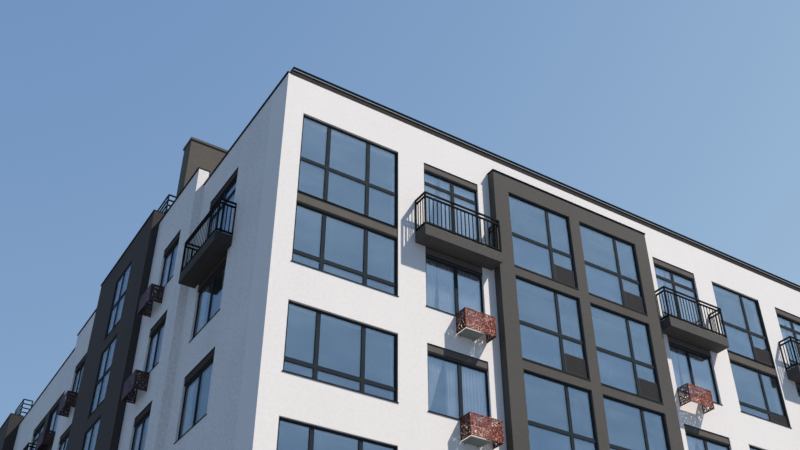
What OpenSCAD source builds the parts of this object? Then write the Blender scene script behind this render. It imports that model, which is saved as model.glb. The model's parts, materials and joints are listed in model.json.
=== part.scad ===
// Six-storey corner apartment block, two wings round a courtyard.
// The origin is the street corner of the walls at ground level.
// X runs along the sunny street front, Y along the side street, Z up.

/* [Block] */
// Depth of each wing
wing_depth = 14000; // [12000:10:16000]
// Height of the plinth, up to the ground floor
plinth_h = 960; // [600:10:1500]
// Height of one storey, floor to floor
storey_h = 3000; // [2950:10:3300]
// Number of storeys
storeys = 6; // [3:1:7]
// How far the plinth stands proud of the walls
plinth_proud = 40; // [10:5:60]

/* [Shell] */
// Thickness of the outer walls
wall_t = 350; // [300:10:450]
// Thickness of a floor slab
slab_t = 250; // [180:10:300]
// Height of the roof build-up over the last storey
roof_rise = 240; // [200:10:350]
// Height of the parapet over the roof
parapet_h = 700; // [600:10:1200]
// Extra parapet height on the stepped side wall
step_parapet_rise = 600; // [200:10:800]
// Extra parapet height on the stair bays
stair_parapet_rise = 1050; // [850:10:1300]
// Thickness of the sheet metal copings
coping_t = 60; // [30:5:90]
// Overhang of the copings
coping_over = 70; // [30:5:100]
// Height of the street front's coping below its cap
coping_face_h = 150; // [100:10:200]
// How far the street front's coping stands out from the wall
coping_face_out = 15; // [5:5:40]
// Distance of the street front's coping from the corner, where the side coping runs through
coping_face_in = 80; // [40:10:120]
// Height of the cap on the street front's coping
coping_cap_h = 130; // [80:10:180]
// How far the cap stands out from the coping under it
coping_cap_out = 25; // [5:5:40]
// Depth of the cap from the wall's face
coping_cap_d = 170; // [100:10:300]
// How much further in from the corner the cap starts
coping_cap_in = 40; // [0:10:100]
// Thickness of the copings on the bays
bay_coping_t = 40; // [20:5:60]

/* [Street front, from the corner to the middle] */
// Width of the corner pier
corner_pier_w = 550; // [450:10:700]
// Width of the corner window
corner_win_w = 3080; // [2700:10:3400]
// Width of the pier beside the corner window
window_pier_w = 880; // [750:10:1000]
// Width of a balcony window
balcony_win_w = 1940; // [1700:10:2200]
// Width of the wall between the first balcony window and the bay
bay_gap_near = 420; // [400:10:550]
// Width of the bay's outer piers
bay_edge_w = 540; // [450:10:650]
// Width of a bay window
bay_win_w = 2400; // [2100:10:2700]
// Width of the bay's middle pier
bay_pier_w = 400; // [300:10:500]
// How far the bay stands out
bay_out = 270; // [150:10:400]
// Width of the wall between the bay and the second balcony window
bay_gap_far = 500; // [420:10:650]
// Width of the pier beside the middle window
middle_pier_w = 860; // [750:10:1000]
// Width of the middle window
middle_win_w = 2370; // [2100:10:2700]

/* [Side street, from the corner] */
// Width of the wall before the side balcony window
side_gap = 3050; // [2700:10:3400]
// Width of a side balcony window
side_win_w = 2100; // [1900:10:2400]
// Width of the wall between that window and the first step
step_gap = 850; // [700:10:1000]
// How far the stepped parts stand out
step_out = 250; // [150:10:300]
// Width of the wall on a narrow window's plain side
slim_gap_plain = 900; // [700:10:1100]
// Width of a narrow window
slim_win_w = 1500; // [1300:10:1700]
// Width of the wall between a narrow window and the stair bay
slim_gap_stair = 1160; // [1000:10:1300]
// How far the stair bays stand out
stair_out = 500; // [400:10:600]
// Width of the stair bay before its window
stair_gap_near = 1810; // [1600:10:2000]
// Width of a stair window
stair_win_w = 1700; // [1500:10:1900]
// Width of the stair bay past its window
stair_gap_far = 2330; // [2100:10:2600]
// Width of the white wall before the brown band
field_gap_near = 1340; // [1200:10:1500]
// Width of the pier between the band's windows
band_pier_w = 600; // [500:10:700]
// Width of the white wall past the brown band
field_gap_far = 4100; // [3700:10:4500]

/* [Openings] */
// Height of a sill over its floor
sill_h = 790; // [700:10:900]
// Height of a narrow window's sill over its floor
slim_sill_h = 880; // [800:10:950]
// Distance from a window head up to the next floor
head_drop = 310; // [300:10:400]
// How far a bay window reaches below its floor
bay_win_drop = 50; // [0:5:80]
// Height of a stair window's sill over its floor
stair_sill_h = 1470; // [1400:10:1550]
// Height of a stair window's head over its floor
stair_head_h = 3950; // [3800:10:4000]
// Height of the dark panel under a window head
lintel_h = 250; // [200:10:400]
// Depth of the reveal in front of a frame
reveal = 65; // [40:5:170]
// Depth of a stair window's reveal
stair_reveal = 20; // [10:5:60]
// How far a dark panel lies behind the wall's face
panel_back = 25; // [10:5:35]

/* [Window frames] */
// Depth of a window frame in front of its glass
frame_d = 20; // [15:5:60]
// Width of a frame's border seen from outside
frame_bar = 55; // [40:5:90]
// Width of a mullion or transom
mullion_w = 105; // [80:5:140]
// Height of the transom over the floor
transom_h = 1150; // [1050:10:1250]
// Height of a balcony door's transom over the floor
door_transom_h = 2000; // [1900:10:2100]
// Height of a stair window's transom over the floor
stair_transom_h = 2700; // [2600:10:2800]
// Height of a louvred panel's top over the floor
louvre_h = 610; // [500:10:700]
// Thickness of the glazing
glass_t = 24; // [16:1:40]
// Share of the corner window's width before its first mullion
corner_share_1 = 0.28; // [0.2:0.01:0.4]
// Share of the corner window's width before its second mullion
corner_share_2 = 0.69; // [0.6:0.01:0.8]
// Share of a balcony window's width before its mullion
balcony_share = 0.54; // [0.4:0.01:0.6]
// Share of a bay window's or the middle window's width before its mullion
bay_share = 0.64; // [0.55:0.01:0.7]
// Share of any other window's width before its mullion
plain_share = 0.5; // [0.4:0.01:0.6]
// Share of a stair window's width before its mullion
stair_share = 0.52; // [0.4:0.01:0.6]
// Thickness of the sheet metal sills
sill_t = 20; // [15:1:30]
// Overhang of the sheet metal sills
sill_out = 20; // [15:1:60]

/* [Balconies] */
// How far a front balcony runs past its window
balcony_over = 330; // [250:10:360]
// How far a side balcony runs past its window
side_balcony_over = 250; // [200:10:350]
// Depth of a balcony
balcony_d = 510; // [450:10:650]
// Height of a balcony slab's top over the floor
balcony_lift = 20; // [0:5:60]
// Height of the handrail over the floor
rail_h = 1150; // [1000:10:1200]
// Size of a handrail and a corner post
rail_t = 45; // [30:1:60]
// Drop from the handrail to the rail under it
rail_drop = 130; // [110:5:180]
// Gap between a balcony's slab and the lowest rail
rail_gap = 45; // [30:5:80]
// Width of an upright bar
bar_w = 30; // [15:1:35]
// Thickness of an upright bar
bar_t = 12; // [8:1:20]
// Distance between upright bars
bar_pitch = 134; // [100:1:150]

/* [Equipment baskets] */
// Width of a basket
basket_w = 1000; // [800:10:1150]
// Depth of a basket
basket_d = 430; // [350:10:500]
// Height of a basket
basket_h = 600; // [450:10:650]
// Height of a basket's top over the floor
basket_top = 840; // [700:10:850]
// How far a side street basket reaches past its narrow window
basket_past = 200; // [0:10:300]
// Thickness of the pierced sheet
sheet_t = 12; // [6:1:20]

/* [Roof] */
// Height of the vent stack over the stair head
stack_h = 3850; // [3000:10:4500]
// Width of the vent stack
stack_w = 2200; // [1800:10:2600]
// Length of the vent stack along the side street
stack_len = 750; // [600:10:900]
// Distance from the stair head's street face to the stack
stack_back = 280; // [200:10:400]
// Thickness of the stack's cap
cap_t = 100; // [60:10:150]
// Overhang of the stack's cap
cap_over = 40; // [20:5:80]
// Length of a stair head back from the wall's face
stair_head_len = 3000; // [2800:10:4000]
// Thickness of the stair head's walls
head_wall_t = 250; // [200:10:300]
// Thickness of the stair head's roof
head_roof_t = 200; // [150:10:250]
// Height of the guard rails
guard_h = 900; // [800:10:1200]
// Thickness of the guard rails' tubes
guard_t = 45; // [30:1:60]
// Length of a guard rail along the street
guard_len = 1600; // [1200:10:2400]
// Setback of the guard rails from the street face
guard_back = 400; // [300:10:450]

/* [Courtyard] */
// Number of window columns between the inner corner and an end wall
court_bays = 4; // [3:1:5]
// Width of a courtyard window
court_win_w = 2100; // [1800:10:2300]
// Width of an entrance opening
door_w = 1300; // [1100:10:1500]
// Thickness of an entrance door
door_t = 50; // [40:5:80]
// Height of an entrance opening
door_h = 2300; // [2100:10:2400]
// Number of steps up to an entrance
step_count = 6; // [5:1:8]
// Depth of one step
going = 300; // [260:10:340]
// Depth of the landing before an entrance
landing_d = 1200; // [1000:10:1500]
// How far the steps run past the door opening
step_past = 300; // [150:10:400]

/* [Hidden] */

// Cuts run this far past the face they leave through
past = 10;

// Levels
top_storey = storeys - 1;
wall_top = plinth_h + storeys * storey_h + roof_rise;
parapet_top = wall_top + parapet_h;
step_top = parapet_top + step_parapet_rise;
stair_top = parapet_top + stair_parapet_rise;
function floor_z(s) = plinth_h + s * storey_h;
head_h = storey_h - head_drop;

// Plan of the street front, from the corner; its far half mirrors the near half
balcony_win_u = corner_pier_w + corner_win_w + window_pier_w;
bay_u = balcony_win_u + balcony_win_w + bay_gap_near;
bay_w = 2 * bay_edge_w + 2 * bay_win_w + bay_pier_w;
second_win_u = bay_u + bay_w + bay_gap_far;
middle_win_u = second_win_u + balcony_win_w + middle_pier_w;
front_len = 2 * middle_win_u + middle_win_w;
bay_2_u = front_len - bay_u - bay_w;
function mirrored(u, w) = front_len - u - w;

// Plan of the side street, from the corner
step_1_y = side_gap + side_win_w + step_gap;
step_w = slim_gap_plain + slim_win_w + slim_gap_stair;
stair_1_y = step_1_y + step_w;
stair_bay_w = stair_gap_near + stair_win_w + stair_gap_far;
step_2_y = stair_1_y + stair_bay_w;
field_y = step_2_y + step_w;
band_y = field_y + field_gap_near;
band_w = 2 * side_win_w + band_pier_w;
band_top = floor_z(top_storey) + head_h;
stair_2_y = band_y + band_w + field_gap_far;
side_len = stair_2_y + stair_bay_w;
inner_step = wall_t - step_out;

// A window column is [distance along the wall, width, kind, plane stands out by, mullion shares, basket at]
WIDE = 0;
FRENCH = 1;
SLIM = 2;
STAIR = 3;
BAY = 4;
COURT = 5;
MIDDLE = 6;
PLAIN = 7;

// A basket's near end, measured from its window's near end; undef for a column without baskets
basket_left = 0;
basket_right = balcony_win_w - basket_w;
corner_shares = [corner_share_1, corner_share_2];
mirrored_corner_shares = [1 - corner_share_2, 1 - corner_share_1];

front_corner_columns = [
    [corner_pier_w, corner_win_w, WIDE, 0, corner_shares, undef],
    [balcony_win_u, balcony_win_w, FRENCH, 0, [balcony_share], basket_right]
];
front_middle_columns = [
    [second_win_u, balcony_win_w, FRENCH, 0, [1 - balcony_share], basket_left],
    [middle_win_u, middle_win_w, MIDDLE, 0, [bay_share], undef],
    [mirrored(second_win_u, balcony_win_w), balcony_win_w, FRENCH, 0, [1 - balcony_share], basket_left]
];
front_end_columns = [
    [mirrored(balcony_win_u, balcony_win_w), balcony_win_w, FRENCH, 0, [1 - balcony_share], basket_left],
    [mirrored(corner_pier_w, corner_win_w), corner_win_w, WIDE, 0, mirrored_corner_shares, undef]
];
function bay_columns(u) = [
    for (i = [0, 1])
        [u + bay_edge_w + i * (bay_win_w + bay_pier_w), bay_win_w, BAY, bay_out, [bay_share], undef]
];
front_columns = concat(
    front_corner_columns, bay_columns(bay_u), front_middle_columns,
    bay_columns(bay_2_u), front_end_columns
);

slim_basket_right = slim_win_w - basket_w + basket_past;
side_corner_columns = [[side_gap, side_win_w, FRENCH, 0, [plain_share], undef]];
step_1_columns = [[step_1_y + slim_gap_plain, slim_win_w, SLIM, step_out, [plain_share], slim_basket_right]];
step_2_columns = [[step_2_y + slim_gap_stair, slim_win_w, SLIM, step_out, [plain_share], -basket_past]];
band_columns = [
    [band_y, side_win_w, PLAIN, 0, [plain_share], basket_left],
    [band_y + side_win_w + band_pier_w, side_win_w, FRENCH, 0, [plain_share], undef]
];
function stair_columns(y) = [[y + stair_gap_near, stair_win_w, STAIR, stair_out, [stair_share], undef]];
side_columns = concat(
    side_corner_columns, step_1_columns, stair_columns(stair_1_y),
    step_2_columns, band_columns, stair_columns(stair_2_y)
);

// Courtyard windows stand at even distances between the inner corner and the end walls
function court_columns(len) = [
    for (i = [0 : court_bays - 1])
        [
            wing_depth + (i + 0.5) * (len - wing_depth) / court_bays - court_win_w / 2,
            court_win_w, COURT, 0, [plain_share], undef
        ]
];
function door_u(len) = wing_depth + (len - wing_depth) / court_bays - door_w / 2;

// Which balconies and baskets there are
function has_balcony(c, s) = c[2] == FRENCH && s == top_storey;
function has_basket(c, s) = c[5] != undef && !has_balcony(c, s);

// Heights of an opening over its floor
function is_tall(c, s) = s == top_storey && (c[2] == WIDE || c[2] == MIDDLE || has_balcony(c, s));
function is_banded(c, s) = s == top_storey - 1 && (c[2] == WIDE || c[2] == MIDDLE);
function opening_low(c, s) =
    c[2] == BAY ? (s == 0 ? 0 : -bay_win_drop)
    : c[2] == STAIR ? stair_sill_h
    : c[2] == SLIM ? slim_sill_h
    : is_tall(c, s) ? 0 : sill_h;
function opening_high(c, s) =
    c[2] == BAY ? head_h - bay_win_drop
    : c[2] == STAIR ? stair_head_h
    : is_banded(c, s) ? storey_h : head_h;
function frame_high(c, s) =
    is_banded(c, s) ? head_h - bay_win_drop
    : c[2] == FRENCH || c[2] == SLIM || c[2] == PLAIN ? head_h - lintel_h : opening_high(c, s);

// Distance of a frame's face behind the wall's main plane
function set_back(c) = (c[2] == STAIR ? stair_reveal : reveal) - c[3];

// Local frames: X along the wall, Y into the building, Z up
module on_front() children();
module on_side() mirror([1, -1, 0]) children();
module on_front_court() translate([0, wing_depth, 0]) mirror([0, 1, 0]) children();
module on_side_court() translate([wing_depth, 0, 0]) mirror([1, 0, 0]) mirror([1, -1, 0]) children();

module box(from, to) translate(from) cube(to - from);

// A stretch of wall with its openings cut through
module wall_plate(u0, u1, out, depth, top, columns) {
    difference() {
        box([u0, -out, plinth_h], [u1, depth, top]);
        for (c = columns)
            for (s = [0 : top_storey])
                box(
                    [c[0], -out - past, floor_z(s) + opening_low(c, s)],
                    [c[0] + c[1], depth + past, floor_z(s) + opening_high(c, s)]
                );
    }
}

module front_wall_corner() color("whitesmoke")
    on_front() wall_plate(0, bay_u, 0, wall_t, wall_top, front_corner_columns);

module front_bay_1() color("#5f5850")
    on_front() wall_plate(bay_u, bay_u + bay_w, bay_out, wall_t, wall_top, bay_columns(bay_u));

module front_wall_middle() color("whitesmoke")
    on_front() wall_plate(bay_u + bay_w, bay_2_u, 0, wall_t, wall_top, front_middle_columns);

module front_bay_2() color("#5f5850")
    on_front() wall_plate(bay_2_u, bay_2_u + bay_w, bay_out, wall_t, wall_top, bay_columns(bay_2_u));

module front_wall_end() color("whitesmoke")
    on_front() wall_plate(bay_2_u + bay_w, front_len, 0, wall_t, wall_top, front_end_columns);

module front_parapet() color("whitesmoke")
    box([0, 0, wall_top], [front_len, wall_t, parapet_top]);

module side_wall_corner() color("whitesmoke")
    on_side() wall_plate(wall_t, step_1_y, 0, wall_t, parapet_top, side_corner_columns);

module side_wall_steps() color("whitesmoke") on_side() {
    wall_plate(step_1_y, stair_1_y, step_out, inner_step, step_top, step_1_columns);
    wall_plate(step_2_y, field_y, step_out, inner_step, step_top, step_2_columns);
}

module stair_bays() color("#5f5850") on_side()
    for (y = [stair_1_y, stair_2_y])
        wall_plate(y, y + stair_bay_w, stair_out, inner_step, stair_top, stair_columns(y));

// The white wall frames a brown band that holds two columns of windows
module side_wall_field() color("whitesmoke") on_side()
    difference() {
        box([field_y, 0, plinth_h], [stair_2_y, wall_t, step_top]);
        box([band_y, -past, plinth_h - past], [band_y + band_w, wall_t + past, band_top]);
    }

module side_wall_band() color("#5f5850")
    on_side() wall_plate(band_y, band_y + band_w, 0, wall_t, band_top, band_columns);

module end_walls() color("whitesmoke") {
    box([front_len - wall_t, wall_t, plinth_h], [front_len, wing_depth - wall_t, parapet_top]);
    box([inner_step, side_len - wall_t, plinth_h], [wing_depth - wall_t, side_len, parapet_top]);
}

// A courtyard wall also has an entrance cut through its ground storey
module court_wall(u0, u1, len) {
    difference() {
        wall_plate(u0, u1, 0, wall_t, parapet_top, court_columns(len));
        box([door_u(len), -past, plinth_h], [door_u(len) + door_w, wall_t + past, plinth_h + door_h]);
    }
}

module court_wall_front_wing() color("whitesmoke")
    on_front_court() court_wall(wing_depth - wall_t, front_len, front_len);

module court_wall_side_wing() color("whitesmoke")
    on_side_court() court_wall(wing_depth, side_len, side_len);

// The plinth stands a little proud of the walls
module plinth_front_wing() color("#8a8782")
    box([-plinth_proud, -plinth_proud, 0], [front_len, wing_depth, plinth_h]);

module plinth_side_wing() color("#8a8782")
    box([-plinth_proud, wing_depth, 0], [wing_depth, side_len, plinth_h]);

// One foot stands before the plinth under each bay and step
module foot(u0, u1, out)
    box([u0, -out - plinth_proud, 0], [u1, -plinth_proud, plinth_h]);

module bay_feet() color("#8a8782") {
    on_front()
        for (u = [bay_u, bay_2_u])
            foot(u - plinth_proud, u + bay_w + plinth_proud, bay_out);
    on_side() {
        foot(step_1_y - plinth_proud, stair_1_y - plinth_proud, step_out);
        foot(stair_1_y - plinth_proud, step_2_y + plinth_proud, stair_out);
        foot(step_2_y + plinth_proud, field_y + plinth_proud, step_out);
        foot(stair_2_y - plinth_proud, side_len, stair_out);
    }
}

// Plan of the floors, held by the walls' inner faces and cut back at the stair windows
stair_notch_side = 100;
stair_notch_d = 500;
module stair_window_notches()
    for (y = [stair_1_y, stair_2_y])
        translate([inner_step - past, y + stair_gap_near - stair_notch_side])
            square([stair_notch_d + past, stair_win_w + 2 * stair_notch_side]);

module front_wing_plan() {
    difference() {
        union() {
            translate([wall_t, wall_t]) square([front_len - 2 * wall_t, wing_depth - 2 * wall_t]);
            translate([inner_step, step_1_y]) square([wall_t, wing_depth - wall_t - step_1_y]);
        }
        stair_window_notches();
    }
}

module side_wing_plan() {
    difference() {
        translate([inner_step, wing_depth - wall_t])
            square([wing_depth - wall_t - inner_step, side_len - wing_depth]);
        translate([inner_step - past, field_y]) square([step_out + past, stair_2_y - field_y]);
        stair_window_notches();
    }
}

module floors_front_wing() color("#b9b6b0")
    for (s = [1 : top_storey])
        translate([0, 0, floor_z(s) - slab_t]) linear_extrude(slab_t) front_wing_plan();

module floors_side_wing() color("#b9b6b0")
    for (s = [1 : top_storey])
        translate([0, 0, floor_z(s) - slab_t]) linear_extrude(slab_t) side_wing_plan();

module roof_front_wing() color("#7d7b78")
    translate([0, 0, floor_z(storeys) - slab_t]) linear_extrude(slab_t + roof_rise) front_wing_plan();

module roof_side_wing() color("#7d7b78")
    translate([0, 0, floor_z(storeys) - slab_t]) linear_extrude(slab_t + roof_rise) side_wing_plan();

// Copings in dark sheet metal lie on the parapets and overhang them
coping_half = coping_over / 2;
module coping(from, to, z)
    box([from.x, from.y, z], [to.x, to.y, z + coping_t]);

// The street front's coping is a tall face with a cap along its edge, and each bay has a low one
module front_coping() color("#1d1e20") {
    face_top = parapet_top + coping_face_h;
    box([coping_face_in, -coping_face_out, parapet_top], [front_len, wall_t + coping_half, face_top]);
    box(
        [coping_face_in + coping_cap_in, -coping_face_out - coping_cap_out, face_top],
        [front_len, coping_cap_d, face_top + coping_cap_h]
    );
    for (u = [bay_u, bay_2_u])
        box(
            [u - coping_cap_out, -bay_out - coping_cap_out, wall_top],
            [u + bay_w + coping_cap_out, 0, wall_top + bay_coping_t]
        );
}

module side_coping() color("#1d1e20") on_side() {
    coping([wall_t + coping_half, -coping_half], [step_1_y, wall_t + coping_half], parapet_top);
    coping([0, -coping_half], [wall_t + coping_half, coping_face_in], parapet_top);
    for (y = [step_1_y, step_2_y])
        coping([y, -step_out - coping_half], [y + step_w, inner_step + coping_half], step_top);
    for (y = [stair_1_y, stair_2_y])
        coping([y, -stair_out - coping_half], [y + stair_bay_w, inner_step], stair_top);
    coping([field_y, -coping_half], [stair_2_y, wall_t + coping_half], step_top);
}

module court_coping() color("#1d1e20") {
    inner = wing_depth - wall_t;
    coping([front_len - wall_t, wall_t + coping_half], [front_len, inner], parapet_top);
    coping([inner_step, side_len - wall_t], [inner, side_len], parapet_top);
    coping([inner, inner], [front_len, wing_depth + coping_half], parapet_top);
    coping([inner, wing_depth + coping_half], [wing_depth + coping_half, side_len], parapet_top);
}

// Heights of a frame's transoms over its floor
function transoms(c, s) =
    c[2] == WIDE || c[2] == BAY || c[2] == MIDDLE ? [transom_h]
    : c[2] == STAIR ? [stair_transom_h]
    : is_tall(c, s) ? [door_transom_h] : [];

// A frame's bars seen from outside, each as [centre, half its width]
function bars(from, middles, to) = concat(
    [[from, frame_bar]],
    [for (m = middles) [m, mullion_w / 2]],
    [[to, frame_bar]]
);
function posts(c) = bars(0, [for (m = c[4]) m * c[1]], c[1]);
function rails(c, s) = bars(
    floor_z(s) + opening_low(c, s),
    [for (t = transoms(c, s)) floor_z(s) + t],
    floor_z(s) + frame_high(c, s)
);

// One frame: a border, upright mullions and transoms
module window_frame(c, s) {
    p = posts(c);
    r = rails(c, s);
    translate([c[0], set_back(c), 0]) difference() {
        box([0, 0, r[0][0]], [c[1], frame_d, r[len(r) - 1][0]]);
        for (i = [1 : len(p) - 1])
            for (j = [1 : len(r) - 1])
                box(
                    [p[i - 1][0] + p[i - 1][1], -past, r[j - 1][0] + r[j - 1][1]],
                    [p[i][0] - p[i][1], frame_d + past, r[j][0] - r[j][1]]
                );
    }
}

module window_frames(columns)
    for (c = columns)
        for (s = [0 : top_storey])
            window_frame(c, s);

module window_glass(columns)
    for (c = columns)
        for (s = [0 : top_storey])
            box(
                [c[0], set_back(c) + frame_d, floor_z(s) + opening_low(c, s)],
                [c[0] + c[1], set_back(c) + frame_d + glass_t, floor_z(s) + frame_high(c, s)]
            );

module front_window_frames() color("#23282c") on_front() window_frames(front_columns);
module side_window_frames() color("#23282c") on_side() window_frames(side_columns);
module court_window_frames() color("#23282c") {
    on_front_court() window_frames(court_columns(front_len));
    on_side_court() window_frames(court_columns(side_len));
}

module front_window_glass() color("lightsteelblue", 0.5) on_front() window_glass(front_columns);
module side_window_glass() color("lightsteelblue", 0.5) on_side() window_glass(side_columns);
module court_window_glass() color("lightsteelblue", 0.5) {
    on_front_court() window_glass(court_columns(front_len));
    on_side_court() window_glass(court_columns(side_len));
}

// Dark panels fill the openings over the frames, and the band between two wide windows
module panels(columns)
    for (c = columns)
        for (s = [0 : top_storey])
            if (opening_high(c, s) > frame_high(c, s))
                box(
                    [c[0], panel_back - c[3], floor_z(s) + frame_high(c, s)],
                    [c[0] + c[1], set_back(c) + frame_d + glass_t, floor_z(s) + opening_high(c, s)]
                );

module dark_panels() color("#5f5850") {
    on_front() panels(front_columns);
    on_side() panels(side_columns);
}

// Louvred panels close the lower right light of the bay windows and of the middle windows
module louvre_panels() color("#3d3833") on_front()
    for (c = front_columns)
        if (c[2] == BAY || c[2] == MIDDLE)
            for (s = [0 : top_storey]) {
                p = posts(c);
                low = floor_z(s) + opening_low(c, s) + frame_bar;
                high = floor_z(s) + (opening_low(c, s) > 0 ? transom_h - mullion_w / 2 : louvre_h);
                box(
                    [c[0] + p[1][0] + p[1][1], set_back(c), low],
                    [c[0] + p[2][0] - p[2][1], set_back(c) + frame_d, high]
                );
            }

// Thin metal sills run past the openings, and are cut back where a basket's side sheets pass them
sheet_clear = 5;
function sheet_gaps(c) = [
    for (u = [c[5], c[5] + basket_w - sheet_t])
        [
            u <= 0 ? -sill_out - past : u - sheet_clear,
            u + sheet_t >= c[1] ? c[1] + sill_out + past : u + sheet_t + sheet_clear
        ]
];

module sill(c, s) {
    low = opening_low(c, s);
    difference() {
        box([-sill_out, -sill_out, low - sill_t], [c[1] + sill_out, 0, low]);
        if (has_basket(c, s))
            for (gap = sheet_gaps(c))
                box(
                    [gap[0], -sill_out - past, basket_top - basket_h],
                    [gap[1], past, basket_top + sheet_clear]
                );
    }
}

module sills(columns)
    for (c = columns)
        for (s = [0 : top_storey])
            if (opening_low(c, s) > 0)
                translate([c[0], -c[3], floor_z(s)]) sill(c, s);

module window_sills() color("#2b2d30") {
    on_front() sills(front_columns);
    on_side() sills(side_columns);
    on_front_court() sills(court_columns(front_len));
    on_side_court() sills(court_columns(side_len));
}

// Repeats its children at every balcony of a wall, with the slab's near end as their origin
module at_balconies(columns, over)
    for (c = columns)
        for (s = [0 : top_storey])
            if (has_balcony(c, s))
                translate([c[0] - over, -c[3], floor_z(s)]) children();

front_balcony_w = balcony_win_w + 2 * balcony_over;
side_balcony_w = side_win_w + 2 * side_balcony_over;

// A slab reaches down to the head of the window under it
module balcony_slab(width)
    box([0, -balcony_d, -head_drop], [width, 0, balcony_lift]);

module balcony_slabs() color("#4a4540") {
    on_front() at_balconies(front_columns, balcony_over) balcony_slab(front_balcony_w);
    on_side() at_balconies(side_columns, side_balcony_over) balcony_slab(side_balcony_w);
}

// A railing's rails end at its posts: a handrail, one under it and one just over the slab
rail_top = rail_h - balcony_lift;
rail_levels = [rail_gap, rail_top - rail_drop - rail_t, rail_top - rail_t];

module railing_rails(width) translate([0, -balcony_d, balcony_lift])
    for (z = rail_levels) {
        box([rail_t, 0, z], [width - rail_t, rail_t, z + rail_t]);
        for (u = [0, width - rail_t])
            box([u, rail_t, z], [u + rail_t, balcony_d - bar_w, z + rail_t]);
    }

// Corner posts, wall posts and the bars between the two lower rails
module railing_uprights(width) translate([0, -balcony_d, balcony_lift]) {
    run = width - rail_t;
    count = round(run / bar_pitch);
    side_run = balcony_d - (rail_t + bar_w) / 2;
    side_count = round(side_run / bar_pitch);
    for (u = [0, run]) {
        box([u, 0, 0], [u + rail_t, rail_t, rail_top]);
        box([u, balcony_d - bar_w, 0], [u + rail_t, balcony_d, rail_top]);
        for (i = [1 : side_count - 1])
            upright(u + rail_t / 2, rail_t / 2 + i * side_run / side_count, bar_t, bar_w);
    }
    for (i = [1 : count - 1])
        upright(rail_t / 2 + i * run / count, rail_t / 2, bar_w, bar_t);
}
module upright(u, v, width, depth)
    box(
        [u - width / 2, v - depth / 2, rail_levels[0] + rail_t],
        [u + width / 2, v + depth / 2, rail_levels[1]]
    );

module balcony_rails() color("#26282a") {
    on_front() at_balconies(front_columns, balcony_over) railing_rails(front_balcony_w);
    on_side() at_balconies(side_columns, side_balcony_over) railing_rails(side_balcony_w);
}

module balcony_uprights() color("#26282a") {
    on_front() at_balconies(front_columns, balcony_over) railing_uprights(front_balcony_w);
    on_side() at_balconies(side_columns, side_balcony_over) railing_uprights(side_balcony_w);
}

// Pierced sheet baskets hang under the windows, open at the top and the bottom
module at_baskets(columns)
    for (c = columns)
        for (s = [0 : top_storey])
            if (has_basket(c, s))
                translate([c[0] + c[5], -c[3], floor_z(s) + basket_top - basket_h])
                    children();

module basket_fronts() color("#96473f") {
    on_front() at_baskets(front_columns) basket_front();
    on_side() at_baskets(side_columns) basket_front();
}
module basket_front() box([0, -basket_d, 0], [basket_w, sheet_t - basket_d, basket_h]);

module basket_sides() color("#96473f") {
    on_front() at_baskets(front_columns) basket_side_pair();
    on_side() at_baskets(side_columns) basket_side_pair();
}
module basket_side_pair()
    for (u = [0, basket_w - sheet_t])
        box([u, sheet_t - basket_d, 0], [u + sheet_t, 0, basket_h]);

// Stair heads stand on the roof behind the stair bays, and the first carries the vent stack
head_top = stair_top - head_roof_t;
head_len = stair_bay_w - wall_t;
module stair_head_walls() color("#6a635c") on_side()
    for (y = [stair_1_y, stair_2_y])
        difference() {
            box([y, inner_step, wall_top], [y + head_len, stair_head_len, head_top]);
            box([y + head_wall_t, inner_step - past, wall_top - past],
                [y + head_len - head_wall_t, stair_head_len - head_wall_t, head_top + past]);
        }

module stair_head_roofs() color("#55504b") on_side()
    for (y = [stair_1_y, stair_2_y])
        box([y, inner_step, head_top], [y + head_len, stair_head_len, stair_top]);

module vent_stack() color("#6a5c50") on_side()
    translate([stair_1_y, inner_step + stack_back, stair_top]) {
        box([0, 0, 0], [stack_len, stack_w, stack_h - cap_t]);
        box([-cap_over, -cap_over, stack_h - cap_t], [stack_len + cap_over, stack_w + cap_over, stack_h]);
    }

// Tube rails on the stair bay's coping, with a short return over the stair head
guard_rows = 4;
module guard_panel(length) {
    for (i = [1 : guard_rows])
        box([0, 0, i * guard_h / guard_rows - guard_t], [length, guard_t, i * guard_h / guard_rows]);
    for (u = [0, length - guard_t])
        box([u, 0, 0], [u + guard_t, guard_t, guard_h]);
}

module guard_rails() color("#2b2e33") on_side()
    for (y = [stair_1_y, stair_2_y])
        translate([y + guard_t, guard_back - stair_out, stair_top + coping_t]) {
            guard_panel(guard_len);
            translate([guard_t, 0, 0]) rotate([0, 0, 90])
                guard_panel(inner_step + stack_back + stair_out - guard_back);
        }

// Entrance doors and their steps on the courtyard side
module at_entrances() {
    on_front_court() translate([door_u(front_len), 0, plinth_h]) children();
    on_side_court() translate([door_u(side_len), 0, plinth_h]) children();
}

module entrance_doors() color("#3a3d40")
    at_entrances() box([0, reveal, 0], [door_w, reveal + door_t, door_h]);

module entrance_steps() color("#9a9792")
    at_entrances()
        for (i = [1 : step_count])
            box(
                [-step_past, -landing_d - (i - 1) * going, -plinth_h],
                [door_w + step_past, 0, -(i - 1) * plinth_h / step_count]
            );

plinth_front_wing();
plinth_side_wing();
bay_feet();
floors_front_wing();
floors_side_wing();
roof_front_wing();
roof_side_wing();
front_wall_corner();
front_bay_1();
front_wall_middle();
front_bay_2();
front_wall_end();
front_parapet();
side_wall_corner();
side_wall_steps();
stair_bays();
side_wall_field();
side_wall_band();
end_walls();
court_wall_front_wing();
court_wall_side_wing();
front_coping();
side_coping();
court_coping();
front_window_frames();
side_window_frames();
court_window_frames();
front_window_glass();
side_window_glass();
court_window_glass();
dark_panels();
louvre_panels();
window_sills();
balcony_slabs();
balcony_rails();
balcony_uprights();
basket_fronts();
basket_sides();
stair_head_walls();
stair_head_roofs();
vent_stack();
guard_rails();
entrance_doors();
entrance_steps();
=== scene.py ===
"""Finishes and fittings of a six-storey corner apartment block, made around its fixed frame."""
import json
import math
import random

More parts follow.
